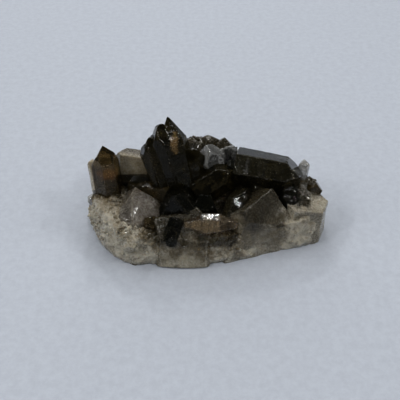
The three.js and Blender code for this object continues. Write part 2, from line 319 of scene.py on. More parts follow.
def crystal_mesh(node, axis, marks, seed, spacing):
    """The surface of one crystal: rays from its middle, each divided by its soft reach, then once more with the
    faces moved by their relief, and less a little where an edge is chipped."""
    corners, triangles = solid_arrays(node)
    normals, depths, areas = outer_faces(corners, triangles)
    depths = depths + np.where(normals @ axis < -0.5, marks["root"], marks["fuller"])
    more_normals, more_depths = closing_faces(corners, axis, marks["root"])
    normals = np.vstack([normals, more_normals])
    depths = np.concatenate([depths, more_depths])
    a, b, c = (corners[triangles[:, k]] for k in range(3))
    size = np.linalg.norm(np.cross(b - a, c - a), axis=1)
    middle = ((a + b + c) / 3 * size[:, None]).sum(axis=0) / size.sum()
    reaches = np.maximum(depths - normals @ middle, 0.4 * MM)
    if "almond" in marks:
        sides = np.abs(normals @ axis) < SIDE_LEAN
        half = np.ptp(corners @ axis) / 2
        for way in (-1, 1):
            turned = normals[sides] + way * marks["almond"] * axis
            turned /= np.linalg.norm(turned, axis=1, keepdims=True)
            reaches = np.concatenate([reaches, (turned * (
                normals[sides] * reaches[:len(sides)][sides, None] + way * 0.25 * half * axis)).sum(axis=1)])
            normals = np.vstack([normals, turned])
            sides = np.append(sides, np.zeros(len(turned), dtype=bool))
    heights = (corners - middle) @ axis
    spread = np.linalg.norm(corners - middle - heights[:, None] * axis, axis=1).max()
    low, high = heights.min() - marks["root"], heights.max()
    rays, rows, columns = drum_rays(axis, low, high, spread, spacing)
    rays = np.vstack([rays.reshape(-1, 3), low * axis, high * axis])
    soft, ratios = soft_reach(rays, normals, reaches, marks["crisp"])
    plain = middle + rays / soft[:, None]
    relief = face_relief(plain, normals, axis, marks, seed)
    soft, ratios = soft_reach(rays, normals, np.maximum(reaches + relief, 0.3 * MM), marks["crisp"])
    order = np.sort(ratios, axis=1)
    edge = ramp_between(0.955, 0.998, order[:, -2] / order[:, -1])
    chipped = edge * ramp_between(0.2, 0.5, noise(plain, 1.7 * MM, seed + 8))
    far = np.linalg.norm(rays, axis=1) / soft
    shrink = 1 - marks["chips"] * chipped / np.maximum(far, 2 * MM)
    points = middle + rays / soft[:, None] * shrink[:, None]
    points[:, 2] = np.maximum(points[:, 2], 0)
    if "proud" in marks:
        keep_to_wall(points, marks["proud"] + 0.6 * MM * noise(plain, 5 * MM, seed + 9), 0, 9 * MM)
    facing = ratios.argmax(axis=1)
    along = (points - middle) @ axis
    attributes = {
        "along": along / MM,
        # Every edge carries part of this value and chips carry all of it. The finishes paint it pale: the chips are
        # real, and the pale line along every ridge is a painted highlight.
        "edge": np.maximum(edge * 0.6, chipped),
        # A random value for each face: it shifts the ribs, and the finishes use it to darken faces as painted shade.
        "facet": cell_value(facing, facing * 3 + 1, facing * 7 + 2, seed),
        "side": (np.abs(normals @ axis) < SIDE_LEAN)[facing],
    }
    grid = points[:-2].reshape(rows, columns, 3)
    return grid_mesh(node, grid, points[-2], points[-1], attributes)


# %% [markdown]
# ### The crystals of this cluster
# Each crystal leans its own way and has its own finish and wear. The direction is from root to tip, and only its
# ratio matters. Sharp crystals are glassy with fine ribs. Worn ones are the thick milky crystals at the front, whose
# faces swell and whose edges are soft. Broken ones have lost their points.

# %% Table of crystals
MARKS = {
    "sharp": dict(steps=0.06 * MM, ribs=0.03 * MM, hills=0.07 * MM, swell=0.06 * MM, chips=0.35 * MM,
                  crisp=170, fuller=0.15 * MM, root=1.5 * MM),
    "worn": dict(steps=0.16 * MM, ribs=0.03 * MM, hills=0.2 * MM, swell=0.45 * MM, chips=0.5 * MM,
                 crisp=75, fuller=0.15 * MM, root=1.5 * MM, proud=2.0 * MM),
    "smooth": dict(steps=0.04 * MM, ribs=0.01 * MM, hills=0.05 * MM, swell=0.05 * MM, chips=0.3 * MM,
                   crisp=150, fuller=0.15 * MM, root=1.5 * MM),
    "small": dict(steps=0.05 * MM, ribs=0.02 * MM, hills=0.05 * MM, swell=0.05 * MM, chips=0.2 * MM,
                  crisp=110, fuller=0.15 * MM, root=1.2 * MM),
    "lens": dict(steps=0.28 * MM, ribs=0.01 * MM, hills=0.25 * MM, swell=0.15 * MM, chips=0.3 * MM,
                 crisp=120, fuller=0.15 * MM, root=0.3 * MM, almond=0.38),
    "rough": dict(steps=0.25 * MM, ribs=0.05 * MM, hills=0.3 * MM, swell=0.35 * MM, chips=0.6 * MM,
                  crisp=90, fuller=0.15 * MM, root=1.5 * MM),
}
CRYSTALS = {
    "tall_crystal": ((-8, 10, 43.5), "sharp", "olive glass"),
    "tall_side_crystal": ((-8.2, 9, 39), "sharp", "dark glass"),
    "tall_low_crystal": ((-9.6, 9, 32.5), "sharp", "dark glass"),
    "tall_outer_crystal": ((-10.6, 7, 28.5), "sharp", "dark glass"),
    "olive_column": ((-3.5, 10, 27), "rough", "dark glass"),
    "lying_crystal": ((35, -7.5, -2), "smooth", "lying glass"),
    "under_block": ((1.5, -22, -6), "rough", "black glass"),
    "centre_crystal": ((18.5, 4, 11.5), "sharp", "dark glass"),
    "facing_block": ((-4, -24, 9), "sharp", "black glass"),
    "hollow_crystal": ((12, -10, 9.5), "sharp", "black glass"),
    "grey_slab": ((7, 15, 14.5), "rough", "grey glass"),
    "hollow_right_crystal": ((-3, -12, 9.5), "sharp", "grey glass"),
    "dark_wedge": ((-6, -9, 11), "sharp", "black glass"),
    "front_right_crystal": ((17.5, 7.5, 41.5), "worn", "milky stone"),
    "right_block": ((4, 3, 43), "worn", "pale stone"),
    "front_centre_crystal": ((2, 10, 38), "worn", "brown stone"),
    "lens_crystal": ((27, 0.5, 0), "lens", "amber glass"),
    "small_front_crystal": ((-3.5, -11, -6.5), "small", "black glass"),
    "front_left_pocket_crystal": ((-5.5, -11, 7.5), "small", "brown glass"),
    "left_crystal": ((-4, 10, 37.5), "sharp", "brown glass"),
    "left_sliver": ((-3, 4, 28), "sharp", "beige stone"),
    "left_knob": ((-9, -3, 5), "small", "clear glass"),
    "pale_pyramid": ((-0.5, 10, 33), "worn", "mauve stone"),
    "fan_crystal": ((23, -10, 4), "rough", "brown glass"),
    "slate_blade": ((15, -3, 2), "small", "grey glass"),
    "pale_slab": ((1.5, 5.5, 33), "sharp", "beige stone"),
    "rim_knob": ((-1.5, -10.5, 7.5), "small", "milky stone"),
    "clear_crystal": ((-2, -12, 15.5), "sharp", "clear glass"),
    "left_plate": ((-1.5, -7, 14), "small", "clear glass"),
    "right_plate": ((1, -6, 15), "small", "clear glass"),
    "ridge_left_crystal": ((-2, -3, 21.5), "rough", "brown stone"),
    "ridge_middle_crystal": ((1, -3, 21.5), "rough", "brown stone"),
    "ridge_right_crystal": ((1, -3, 21), "rough", "brown stone"),
    "ridge_end_crystal": ((1, -3, 17.5), "sharp", "grey glass"),
    "back_knob": ((2, -1, 24), "small", "clear glass"),
    "pocket_crystal": ((3, -7, 15), "small", "brown glass"),
    "pocket_side_crystal": ((1, -8, 14), "small", "brown glass"),
}
SPACING = 0.42 * MM
FIRST_SEED, SEED_STEP = 100, 20
pieces = {}
for number, (node, (lean, wear, finish)) in enumerate(CRYSTALS.items()):
    axis = np.array(lean, dtype=float)
    axis /= np.linalg.norm(axis)
    mesh = crystal_mesh(node, axis, MARKS[wear], FIRST_SEED + SEED_STEP * number, SPACING)
    pieces[node] = put(node, mesh, node)
print("crystals:", len(pieces), "with", sum(2 * len(p.data.polygons) for p in pieces.values()), "triangles")

# %% [markdown]
# ## The mass that they grow from
# Under the crystals is one thick piece of vein quartz. On real quartz such a surface is never smooth. It is a crust of
# small crystal points and broken faces. Placing thousands of small crystals would be heavy, so the crust is a height
# field: from each point of the surface, how high does the nearest little pyramid stand?

# %% Little crystal points
POINT_SETS, TURN_SEED = 12, 5
SIDE_RISE, CAP = 0.75, 1.1  # how steep the six faces of a point are, and how blunt its tip


def random_turns(count, seed):
    """Sets of eight outward directions, six round and two at the ends, each set turned a random way."""
    rng = np.random.default_rng(seed)
    angles = np.arange(6) * math.pi / 3
    prism = np.stack([np.cos(angles), np.sin(angles), np.full(6, SIDE_RISE)], axis=1)
    prism = np.vstack([prism, [[0, 0, CAP], [0, 0, -1]]])
    return np.array([prism @ np.linalg.qr(rng.normal(size=(3, 3)))[0].T for _ in range(count)])


TURNS = random_turns(POINT_SETS, TURN_SEED)


def crystal_points(points, cell, seed, share=1.0):
    """Height from 0 to 1 of the pointed crystals nearest to each point. One crystal sits at a random place in each
    cell of a grid in space. Its height falls evenly with the distance measured square to its faces, so that it
    has flat sides. The tallest of the 27 nearest cells is kept."""
    base = np.floor(points / cell).astype(np.int64)
    best = np.zeros(len(points))
    for step in itertools.product((-1, 0, 1), repeat=3):
        index = base + step
        place = np.stack([cell_value(*index.T, seed + k) for k in range(3)], axis=1)
        away = points - (index + place) * cell
        turn = (cell_value(*index.T, seed + 3) * (POINT_SETS - 0.01)).astype(int)
        size = 0.55 + 0.6 * cell_value(*index.T, seed + 4)
        here = cell_value(*index.T, seed + 5) < share
        reach = np.einsum("pi,pki->pk", away, TURNS[turn]).max(axis=1) / (cell * size)
        best = np.maximum(best, np.where(here, size * (1 - reach), 0))
    return best


print("sets of point faces:", TURNS.shape)

# %% [markdown]
# ### The plain form of the mass
# Its rim and its rise towards the middle follow the CAD model. One grid walks from the middle of the underside out to
# the rim, up the wall and back in over the top.

# %% Plain form of the mass
COLUMNS = 600
WALL_ROWS, TOP_ROWS, UNDER_ROWS = 46, 84, 14
SHOULDER = 0.93  # the wall ends and the top begins at this share of the rim


def mass_grid():
    """Rows of points over the rim: out along the underside, up and a little in along the wall, in over the top."""
    angle, radius = smooth_loop(RIM, COLUMNS)
    around = np.stack([np.cos(angle), np.sin(angle)], axis=1)
    rows = []
    for share in (np.arange(UNDER_ROWS) + 0.5) / UNDER_ROWS:
        rows.append((share * (radius - FOOT_INSET), np.zeros(COLUMNS)))
    edge = around * (SHOULDER * radius)[:, None]
    shoulder_height = rise(edge[:, 0], edge[:, 1])
    for t in (np.arange(WALL_ROWS) + 1) / WALL_ROWS:
        height = shoulder_height * t
        wall = radius - FOOT_INSET * (1 - np.clip(height / WIDEST_AT, 0, 1))
        inward = np.clip((height - WIDEST_AT) / (shoulder_height - WIDEST_AT), 0, 1)
        rows.append((wall * (1 - (1 - SHOULDER) * inward), height))
    for share in SHOULDER * (1 - (np.arange(TOP_ROWS) + 1) / (TOP_ROWS + 1)):
        flat = around * (share * radius)[:, None]
        rows.append((share * radius, rise(flat[:, 0], flat[:, 1])))
    return np.stack([np.column_stack([around * r[:, None], h]) for r, h in rows])


def grid_normals(grid):
    """Unit normals from the differences between neighbours across and along the grid, one row per point."""
    across = np.roll(grid, -1, axis=1) - np.roll(grid, 1, axis=1)
    normal = np.cross(across, np.gradient(grid, axis=0))
    return (normal / np.maximum(np.linalg.norm(normal, axis=2, keepdims=True), 1e-12)).reshape(-1, 3)


plain_grid = mass_grid()
plain = plain_grid.reshape(-1, 3)
print("mass grid:", plain_grid.shape[:2])

# %% [markdown]
# ### The crust
# Four fields of points lie over each other, from broken lumps of 13 mm down to grains of 1.5 mm. At the left front the
# crust is finer, so the big fields shrink there and the finest one grows. Each grid point is pushed out along its
# normal. The underside stays flat, and only its last rows follow the foot of the wall.

# %% Crust of the mass
FIELDS = {  # cell in mm, seed, share of cells filled, height in mm, more of it at the left front, middle level
    "broken": (13, 30, 1.0, 3.4, -1.6, 0.5), "coarse": (7, 31, 0.8, 2.6, -1.0, 0.4),
    "medium": (3.2, 32, 0.9, 1.4, 0.0, 0.4), "fine": (1.5, 33, 0.9, 0.35, 0.6, 0.0),
}
ROUGH_CELL, ROUGH, ROUGH_SEED = 9 * MM, 0.5 * MM, 34
CALM_FOOT = 9 * MM  # the relief is weaker below this height
left_front = ramp_between(14 * MM, 30 * MM, -plain[:, 0]) * ramp_between(-6 * MM, 10 * MM, -plain[:, 1])
fields, out = {}, ROUGH * rough_noise(plain, ROUGH_CELL, ROUGH_SEED)
for name, (cell, seed, share, high, more, middle) in FIELDS.items():
    fields[name] = crystal_points(plain, cell * MM, seed, share)
    out += (high + more * left_front) * MM * (fields[name] - middle)
above_foot = ramp_between(0, CALM_FOOT, plain[:, 2])
out *= 0.45 + 0.55 * above_foot
moved = plain + grid_normals(plain_grid) * out[:, None]

under = UNDER_ROWS * COLUMNS
first_wall = slice(under, under + COLUMNS)
follow = ((np.arange(UNDER_ROWS) + 0.5) / UNDER_ROWS) ** 8
sideways = plain[first_wall, :2] / np.linalg.norm(plain[first_wall, :2], axis=1, keepdims=True)
push = follow[:, None, None] * (out[first_wall, None] * sideways)
moved[:under, :2] = plain[:under, :2] + push.reshape(-1, 2)
moved[:under, 2] = 0
moved[:, 2] = np.maximum(moved[:, 2], 0)
moved[:, :2] += SHIFT
grid = moved.reshape(plain_grid.shape)
# The tips of the medium points count as edges here, so the finish paints them pale, partly as a painted highlight.
attributes = {"edge": ramp_between(0.5, 0.95, np.append(fields["medium"], [0, 0]))}
mass = grid_mesh("quartz_base", grid, np.array([*SHIFT, 0]), grid[-1].mean(axis=0), attributes)
pieces["quartz_base"] = put("quartz_base", mass, "quartz_base")
print("mass:", 2 * len(mass.polygons), "triangles, relief up to", (out.max() / MM).round(1), "mm")

# %% [markdown]
# ### Druse
# Crystals a millimetre wide cover the left front and the back ridge, and give them their sugary glitter. One small
# pointed prism of 24 triangles is enough for all of them. First comes where they grow: a chance for each grid point,
# larger on the ridge and the left front, and broken into patches by a noise.

# %% Where the grains grow
GRAINS, GRAIN_SEED = 1500, 11
PATCH_CELL, PATCH_SEED = 12 * MM, 35
rng = np.random.default_rng(GRAIN_SEED)
ridge = ramp_between(8 * MM, 16 * MM, plain[:, 1]) * ramp_between(18 * MM, 26 * MM, plain[:, 2])
from_middle = np.linalg.norm(plain[:, :2], axis=1)  # grid points lie closer together near the middle
patchy = ramp_between(-0.3, 0.5, rough_noise(plain, PATCH_CELL, PATCH_SEED))
chance = from_middle * above_foot * (0.10 + left_front + 0.8 * ridge) * (0.15 + patchy)
chosen = rng.choice(len(plain), GRAINS, p=chance / chance.sum(), replace=False)
print("grains on the ridge:", int((ridge[chosen] > 0.5).sum()))

# %% [markdown]
# ### The grains
# Each copy of the prism grows out of the surface, and is tilted, skewed and scaled at random. All of them become one
# mesh.

# %% Grains
TILT, NARROWEST, WIDER, FEW_WIDE = 0.45, 0.28, 0.75, 2.5
SHORTEST, TALLER, SKEW = 0.55, 0.45, 0.25
ring = np.arange(6) * math.pi / 3
hexagon = np.stack([np.cos(ring), np.sin(ring)], axis=1)
template = np.vstack([
    np.column_stack([hexagon, np.full(6, -1.0)]), np.column_stack([hexagon, np.full(6, 0.7)]),
    [[0, 0, 1.8], [0, 0, -1.0]],
])
k = np.arange(6)
k_next = (k + 1) % 6
template_faces = np.vstack([
    np.stack([k, k_next, k_next + 6], axis=1), np.stack([k, k_next + 6, k + 6], axis=1),
    np.stack([k + 6, k_next + 6, np.full(6, 12)], axis=1), np.stack([k_next, k, np.full(6, 13)], axis=1),
])


def unit(vectors):
    """The vectors at length 1."""
    return vectors / np.linalg.norm(vectors, axis=1, keepdims=True)


up = unit(grid_normals(grid)[chosen] + TILT * rng.normal(size=(GRAINS, 3)))
side_way = unit(np.cross(up, rng.normal(size=(GRAINS, 3))))
width = (NARROWEST + WIDER * rng.random(GRAINS) ** FEW_WIDE) * MM
tall = width * (SHORTEST + TALLER * rng.random(GRAINS))
skew = 1 + SKEW * rng.normal(size=(GRAINS, len(template), 3)).clip(-1.5, 1.5) * np.array([1, 1, 0.4])
ways = np.stack([side_way * width[:, None], np.cross(up, side_way) * width[:, None], up * tall[:, None]], axis=1)
grain_points = moved[chosen][:, None, :] + np.einsum("gck,gki->gci", template * skew, ways)
grain_points[:, :, 2] = np.maximum(grain_points[:, :, 2], 0.05 * MM)
triangles = (template_faces + len(template) * np.arange(GRAINS)[:, None, None]).reshape(-1, 3)
grain_mesh = bpy.data.meshes.new("base_druse")
grain_mesh.from_pydata(grain_points.reshape(-1, 3).tolist(), [], triangles.tolist())
druse = bpy.data.objects.new("base_druse", grain_mesh)
bpy.context.scene.collection.objects.link(druse)
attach(druse, "root")
print("druse:", GRAINS, "grains,", len(triangles), "triangles")

# %% [markdown]
# ## Finishes
# Smoky quartz is clear quartz stained brown all the way through, so thick parts are nearly black and thin edges
# glow. That depth comes from the volume inside, which takes light away along its path. Two finishes also carry a
# painted glow, a lighter spot where light would shine through. The surface adds what a polished glass doesn't have:
# fine ribs, veils of tiny bubbles, and pale frosted edges, which are partly a painted highlight along the ridges.
# These effects are shared, so each is one node group that every finish uses with its own values.

# %% Node helpers
def fill(tree, node, **inputs):
    """Gives a node its inputs. A socket is linked, anything else is a value, and _ in a name stands for a space."""
    for label, value in inputs.items():
        socket = node.inputs[label.replace("_", " ")]
        if isinstance(value, bpy.types.NodeSocket):
            tree.links.new(value, socket)
        else:
            socket.default_value = value
    return node


def add(tree, kind, **inputs):
    """A new shader node with its inputs."""
    return fill(tree, tree.nodes.new("ShaderNode" + kind), **inputs)


def maths(tree, operation, first, second=None):
    """What a Math node gives. Each operand is either a number or the output of another node."""
    made = add(tree, "Math")
    made.operation = operation
    for socket, operand in zip(made.inputs, (first, second)):
        if isinstance(operand, (int, float)):
            socket.default_value = operand
        elif operand is not None:
            tree.links.new(operand, socket)
    return made.outputs[0]


def product(tree, first, *factors):
    """All the factors multiplied."""
    for factor in factors:
        first = maths(tree, "MULTIPLY", first, factor)
    return first


def ramp_node(tree, source, low, high):
    """0 below low, 1 above high, smooth in between."""
    made = add(tree, "MapRange", Value=source, From_Min=low, From_Max=high)
    made.interpolation_type = "SMOOTHSTEP"
    return made.outputs["Result"]


def blend(tree, mask, below, above):
    """A colour mix. Each colour is either three numbers or the output of another node."""
    made = add(tree, "Mix")
    made.data_type = "RGBA"
    tree.links.new(mask, made.inputs["Factor"])
    for socket, colour in ((made.inputs[6], below), (made.inputs[7], above)):
        if isinstance(colour, tuple):
            socket.default_value = (*colour, 1)
        else:
            tree.links.new(colour, socket)
    return made.outputs[2]


print("node helpers ready")

# %% [markdown]
# ### What the nodes read
# Every pattern is placed by the object's own coordinates, or by a value that the mesh carries at its corners.

# %% Places, carried values and groups
def place_of(tree):
    """Where a point is, in metres."""
    return add(tree, "TexCoord").outputs["Object"]


def place_mm(tree, axis, sign=1):
    """How far a point lies along X, Y or Z, in millimetres."""
    return product(tree, add(tree, "SeparateXYZ", Vector=place_of(tree)).outputs[axis], sign * 1000.0)


def carried(tree, name):
    """The value that the mesh carries under this name."""
    made = add(tree, "Attribute")
    made.attribute_name = name
    return made.outputs["Fac"]


def noise_node(tree, scale, detail, roughness=0.5, place=None, **more):
    """A noise in space. Its scale is in cells per metre."""
    place = place_of(tree) if place is None else place
    made = add(tree, "TexNoise", Vector=place, Scale=scale, Detail=detail, Roughness=roughness, **more)
    return made.outputs["Fac"]


def open_group(name, **inputs):
    """A new node group and its inputs, which are given with their starting values."""
    tree = bpy.data.node_groups.new(name, "ShaderNodeTree")
    for label, value in inputs.items():
        socket = tree.interface.new_socket(label.replace("_", " "), in_out="INPUT", socket_type="NodeSocketFloat")
        socket.default_value = value
    return tree, tree.nodes.new("NodeGroupInput").outputs


def close_group(tree, **outputs):
    """Says what comes out of a node group."""
    for label in outputs:
        tree.interface.new_socket(label, in_out="OUTPUT", socket_type="NodeSocketFloat")
    fill(tree, tree.nodes.new("NodeGroupOutput"), **outputs)
    print("group:", tree.name, "with", len(tree.nodes), "nodes")


def use(tree, group, **inputs):
    """The outputs of a shared group with its own values."""
    made = add(tree, "Group")
    made.node_tree = group
    return fill(tree, made, **inputs).outputs


# %% [markdown]
# ### Growth ribs
# Quartz grows in steps, which leave ribs round its side faces. A noise with only one coordinate, the distance along
# the crystal, gives such ribs. A second noise makes them wavy, and each face starts at a place of its own.

# %% Group: growth ribs
FACE_SHIFT = 37.0
ribs_group, given = open_group("growth ribs", Ribs_per_mm=1.0, Waviness=0.5)
drift = product(ribs_group, noise_node(ribs_group, 120.0, 2.0), given["Waviness"])
shifted = maths(ribs_group, "ADD", carried(ribs_group, "along"), drift)
shifted = maths(ribs_group, "ADD", shifted, product(ribs_group, carried(ribs_group, "facet"), FACE_SHIFT))
scaled = product(ribs_group, shifted, given["Ribs per mm"])


def noise_along(scale, detail, roughness):
    """A noise that changes only along the crystal."""
    made = add(ribs_group, "TexNoise", Scale=scale, Detail=detail, Roughness=roughness)
    made.noise_dimensions = "1D"
    return fill(ribs_group, made, W=scaled).outputs["Fac"]


close_group(ribs_group, Height=product(ribs_group, noise_along(1.0, 4.0, 0.7), carried(ribs_group, "side")),
            Bands=ramp_node(ribs_group, noise_along(0.16, 2.0, 0.5), 0.45, 0.62))

# %% [markdown]
# ### Veils, and worn edges with a painted highlight
# Veils are wandering sheets of tiny bubbles from healed cracks. A noise folded about its middle value gives thin
# winding lines, and a second noise lets only some of them show. Worn edges are pale because small chips scatter
# light, and the same pale colour along all the ridges is also a painted highlight that makes them look crisp. The
# meshes carry where their edges are, so the group only breaks that line up.

# %% Groups: veils, and worn edges with a painted highlight
veils_group, given = open_group("veils", Size_mm=8.0, Amount=0.5)
scale = maths(veils_group, "DIVIDE", 1000.0, given["Size mm"])
sheets = noise_node(veils_group, scale, 5.0, 0.6, Distortion=0.8)
fold = maths(veils_group, "ABSOLUTE", maths(veils_group, "SUBTRACT", sheets, 0.5))
thin = ramp_node(veils_group, maths(veils_group, "SUBTRACT", 0.06, fold), 0.0, 0.06)
patches = noise_node(veils_group, product(veils_group, scale, 0.6), 2.0)
more = product(veils_group, given["Amount"], 0.3)
shown = ramp_node(veils_group, maths(veils_group, "ADD", patches, more), 0.55, 0.75)
dots = add(veils_group, "TexVoronoi", Vector=place_of(veils_group), Scale=1100.0).outputs["Distance"]
dot = ramp_node(veils_group, maths(veils_group, "SUBTRACT", 0.22, dots), 0.0, 0.1)
close_group(veils_group, Veil=product(veils_group, thin, shown), Specks=product(veils_group, dot, shown))

wear_and_highlight_group, given = open_group("worn edges and painted highlight", Amount=0.7)
gaps = ramp_node(wear_and_highlight_group, noise_node(wear_and_highlight_group, 700.0, 3.0, 0.7), 0.4, 0.62)
close_group(wear_and_highlight_group, Wear=product(wear_and_highlight_group, carried(wear_and_highlight_group, "edge"), gaps, given["Amount"]))

# %% [markdown]
# ### See-through quartz
# A Principled BSDF with full transmission bends light as glass does. The pale crystals use quartz's own index of
# 1.54. The dark ones use a lower index, so that they mirror less and stay as deep as real smoky quartz. Veils
# and worn edges, whose pale colour is partly a painted highlight, aren't see-through, so a share of the shader stays
# opaque and takes their colour.

# %% Glass finishes
def ragged_spot(tree, middle, radius):
    """A mask that is 1 round a middle, in millimetres, and falls to 0 at an ellipsoid whose border a noise tears."""
    moved_to = add(tree, "Mapping", Vector=place_of(tree), Location=[-c / r for c, r in zip(middle, radius)],
                   Scale=[1 / (r * MM) for r in radius])
    away = add(tree, "VectorMath")
    away.operation = "LENGTH"
    tree.links.new(moved_to.outputs[0], away.inputs[0])
    reach = maths(tree, "ADD", 0.45, product(tree, noise_node(tree, 420.0, 3.0), 1.5))
    return ramp_node(tree, maths(tree, "SUBTRACT", reach, away.outputs["Value"]), 0.0, 0.6)


def new_material(name):
    """A material, its tree and its Principled BSDF."""
    material = bpy.data.materials.new(name)
    material.use_nodes = True
    return material, material.node_tree, material.node_tree.nodes["Principled BSDF"]


def times(share, colour):
    """A colour made darker."""
    return tuple(share * c for c in colour)


def glassy(name, colour, veil, worn, absorb, density, see_through, gloss=0.3, rough=0.06, relief=0.25, bend=1.54,
           facet_shade=0.55, glow=None):
    """A clear finish: colour of its opaque share, veil colour, colour of worn edges that is also a painted highlight,
    and what its inside absorbs. Each face is darkened by a random share as painted shade, and a glow, where given, is
    a painted glow: a lighter spot where light would shine through.
    """
    material, tree, shader = new_material(name)
    growth = use(tree, ribs_group, Ribs_per_mm=2.2, Waviness=1.2)
    veils = use(tree, veils_group, Size_mm=9.0, Amount=0.6)
    # Pale edges: real chips, and a painted highlight along the ridges.
    wear = use(tree, wear_and_highlight_group, Amount=0.8)["Wear"]
    # Painted shade: each face is darkened by its own random share, for the different light that each face catches.
    painted = blend(tree, ramp_node(tree, carried(tree, "facet"), 0.1, 0.9), times(facet_shade, colour), colour)
    painted = blend(tree, product(tree, growth["Bands"], 0.38), painted, (0.0, 0.0, 0.0))
    painted = blend(tree, veils["Veil"], painted, veil)
    # Painted glow: a ragged spot of lighter colour where light would shine through the crystal.
    if glow:
        middle, radius, light = glow
        painted = blend(tree, ragged_spot(tree, middle, radius), painted, light)
    frost = maths(tree, "MAXIMUM", product(tree, wear, 0.4), product(tree, veils["Specks"], 0.25))
    frost = maths(tree, "ADD", frost, product(tree, growth["Bands"], 0.06))
    bump = add(tree, "Bump", Strength=relief, Distance=0.1 * MM, Height=growth["Height"])
    fill(tree, shader, IOR=bend, Specular_IOR_Level=gloss, Transmission_Weight=see_through,
         Base_Color=blend(tree, wear, painted, worn), Roughness=maths(tree, "ADD", frost, rough),
         Normal=bump.outputs["Normal"])
    inside = add(tree, "VolumeAbsorption", Color=(*absorb, 1), Density=density)
    tree.links.new(inside.outputs[0], tree.nodes["Material Output"].inputs["Volume"])
    return material


finishes = {
    "dark glass": glassy("dark smoky quartz", (0.066, 0.054, 0.017), (0.14, 0.11, 0.05), (0.30, 0.25, 0.15),
                         (0.50, 0.44, 0.22), 60, 0.84, gloss=0.2, bend=1.36),
    # The glow here is a painted glow near the tip of the tall crystal.
    "olive glass": glassy("olive smoky quartz", (0.088, 0.073, 0.020), (0.19, 0.155, 0.065), (0.38, 0.32, 0.19),
                          (0.54, 0.48, 0.22), 45, 0.84, gloss=0.2, bend=1.36,
                          glow=((-15.4, 3.2, 47.4), (2.2, 4.0, 6.4), (0.72, 0.47, 0.21))),
    "lying glass": glassy("brown-grey smoky quartz", (0.072, 0.062, 0.030), (0.12, 0.105, 0.06), (0.44, 0.39, 0.29),
                          (0.52, 0.46, 0.30), 50, 0.80, gloss=0.25, bend=1.42, relief=0.08),
    # The glow here is a painted glow on the left crystal.
    "brown glass": glassy("brown smoky quartz", (0.165, 0.125, 0.052), (0.27, 0.20, 0.10), (0.46, 0.36, 0.22),
                          (0.60, 0.48, 0.25), 150, 0.84, gloss=0.3, bend=1.44,
                          glow=((-48.5, 0.0, 32.0), (6.0, 4.0, 3.0), (0.40, 0.22, 0.09))),
    "amber glass": glassy("amber quartz", (0.66, 0.50, 0.31), (0.60, 0.48, 0.32), (0.74, 0.64, 0.50),
                          (0.84, 0.66, 0.42), 25, 0.80, gloss=0.5, facet_shade=0.22),
    "grey glass": glassy("grey smoky quartz", (0.12, 0.105, 0.060), (0.20, 0.175, 0.11), (0.40, 0.37, 0.28),
                         (0.54, 0.48, 0.34), 60, 0.86, gloss=0.25, bend=1.40),
    "clear glass": glassy("clear quartz", (0.90, 0.89, 0.84), (0.95, 0.95, 0.93), (0.96, 0.96, 0.95),
                          (0.90, 0.88, 0.82), 3, 0.66, gloss=0.6, rough=0.04, facet_shade=0.25),
    "black glass": glassy("black smoky quartz", (0.032, 0.033, 0.018), (0.07, 0.065, 0.04), (0.26, 0.23, 0.17),
                          (0.38, 0.36, 0.20), 260, 0.88, gloss=0.2, bend=1.34),
}
print("glass finishes:", len(finishes))

# %% [markdown]
# ### Milky quartz
# Milky quartz is full of bubbles too small to see, so light goes a little way in and comes out pale. Subsurface
# scattering does that. The foot of this cluster is white and turns brown towards the crystals, so the colour follows
# the height above the floor, and a noise moves the border up and down.

# %% Group: zones of the mass
PALER_LEFT, PALER_RIGHT = 13.0, 11.0  # how many mm the border moves up at the two pale ends
zones_group, given = open_group("quartz zones", Low_mm=6.0, High_mm=18.0, Wander_mm=10.0)
cloud = maths(zones_group, "SUBTRACT", noise_node(zones_group, 75.0, 4.0, 0.55), 0.5)
level = maths(zones_group, "ADD", place_mm(zones_group, "Z"), product(zones_group, cloud, given["Wander mm"], 4.0))
left = ramp_node(zones_group, place_mm(zones_group, "X", -1), 20.0, 34.0)
near = ramp_node(zones_group, place_mm(zones_group, "Y", -1), -4.0, 8.0)
level = maths(zones_group, "SUBTRACT", level, product(zones_group, left, near, PALER_LEFT))
right = ramp_node(zones_group, place_mm(zones_group, "X"), 34.0, 43.0)
beside = ramp_node(zones_group, place_mm(zones_group, "Y", -1), -1.0, 6.0)
level = maths(zones_group, "SUBTRACT", level, product(zones_group, right, beside, PALER_RIGHT))
half = product(zones_group, maths(zones_group, "ADD", given["Low mm"], given["High mm"]), 0.5)
long_way = add(zones_group, "Mapping", Vector=place_of(zones_group), Scale=(1.0, 1.0, 0.16), Rotation=(0.1, 0.35, 0.0))
streak = noise_node(zones_group, 330.0, 4.0, 0.6, place=long_way.outputs["Vector"])
close_group(zones_group, Waist=ramp_node(zones_group, level, given["Low mm"], half),
            Crown=ramp_node(zones_group, level, half, given["High mm"]),
            Frost=ramp_node(zones_group, noise_node(zones_group, 190.0, 6.0, 0.7), 0.47, 0.68),
            Streaks=ramp_node(zones_group, streak, 0.42, 0.66))

# %% [markdown]
# ### Cloudy finishes
# A cloudy finish is a stack of layers. Each has a mask and a colour, and lies over those before it. Frost and veils
# are held back in the dark crown, where they would look like haze.

# %% Stone finishes
RIDGE, FROST = (0.030, 0.024, 0.011), (0.58, 0.545, 0.46)


